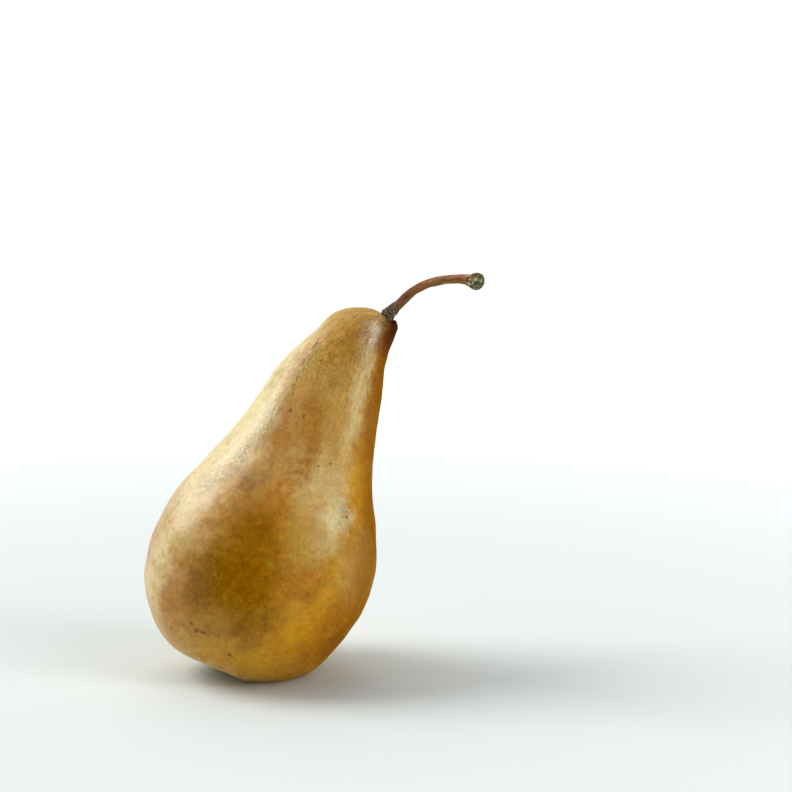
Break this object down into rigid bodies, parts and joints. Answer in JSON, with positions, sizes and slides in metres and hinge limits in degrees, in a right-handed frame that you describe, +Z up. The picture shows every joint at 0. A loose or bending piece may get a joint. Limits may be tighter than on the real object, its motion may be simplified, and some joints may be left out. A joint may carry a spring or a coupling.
{
  "type": "pear",
  "caption": "Ripe russet pear with a long neck and a curved woody stem, leaning over as it rests on a small flat spot of its bulb.",
  "frame": {"origin": "on the flat spot that the fruit rests on, straight below the centre of the bulb", "axes": "+Z up from the surface, +X to the side that the neck leans to, +Y away from the side that the stem's end turns to"},
  "size_m": [0.1083, 0.0709, 0.1257],
  "materials": {
    "skin": "satin, waxy russet skin",
    "stem": "dry bark, ridged",
    "calyx": "dry and papery"
  },
  "bodies": {
    "root": {"fruit": "skin", "stem": "stem", "calyx": "calyx"}
  },
  "joints": []
}
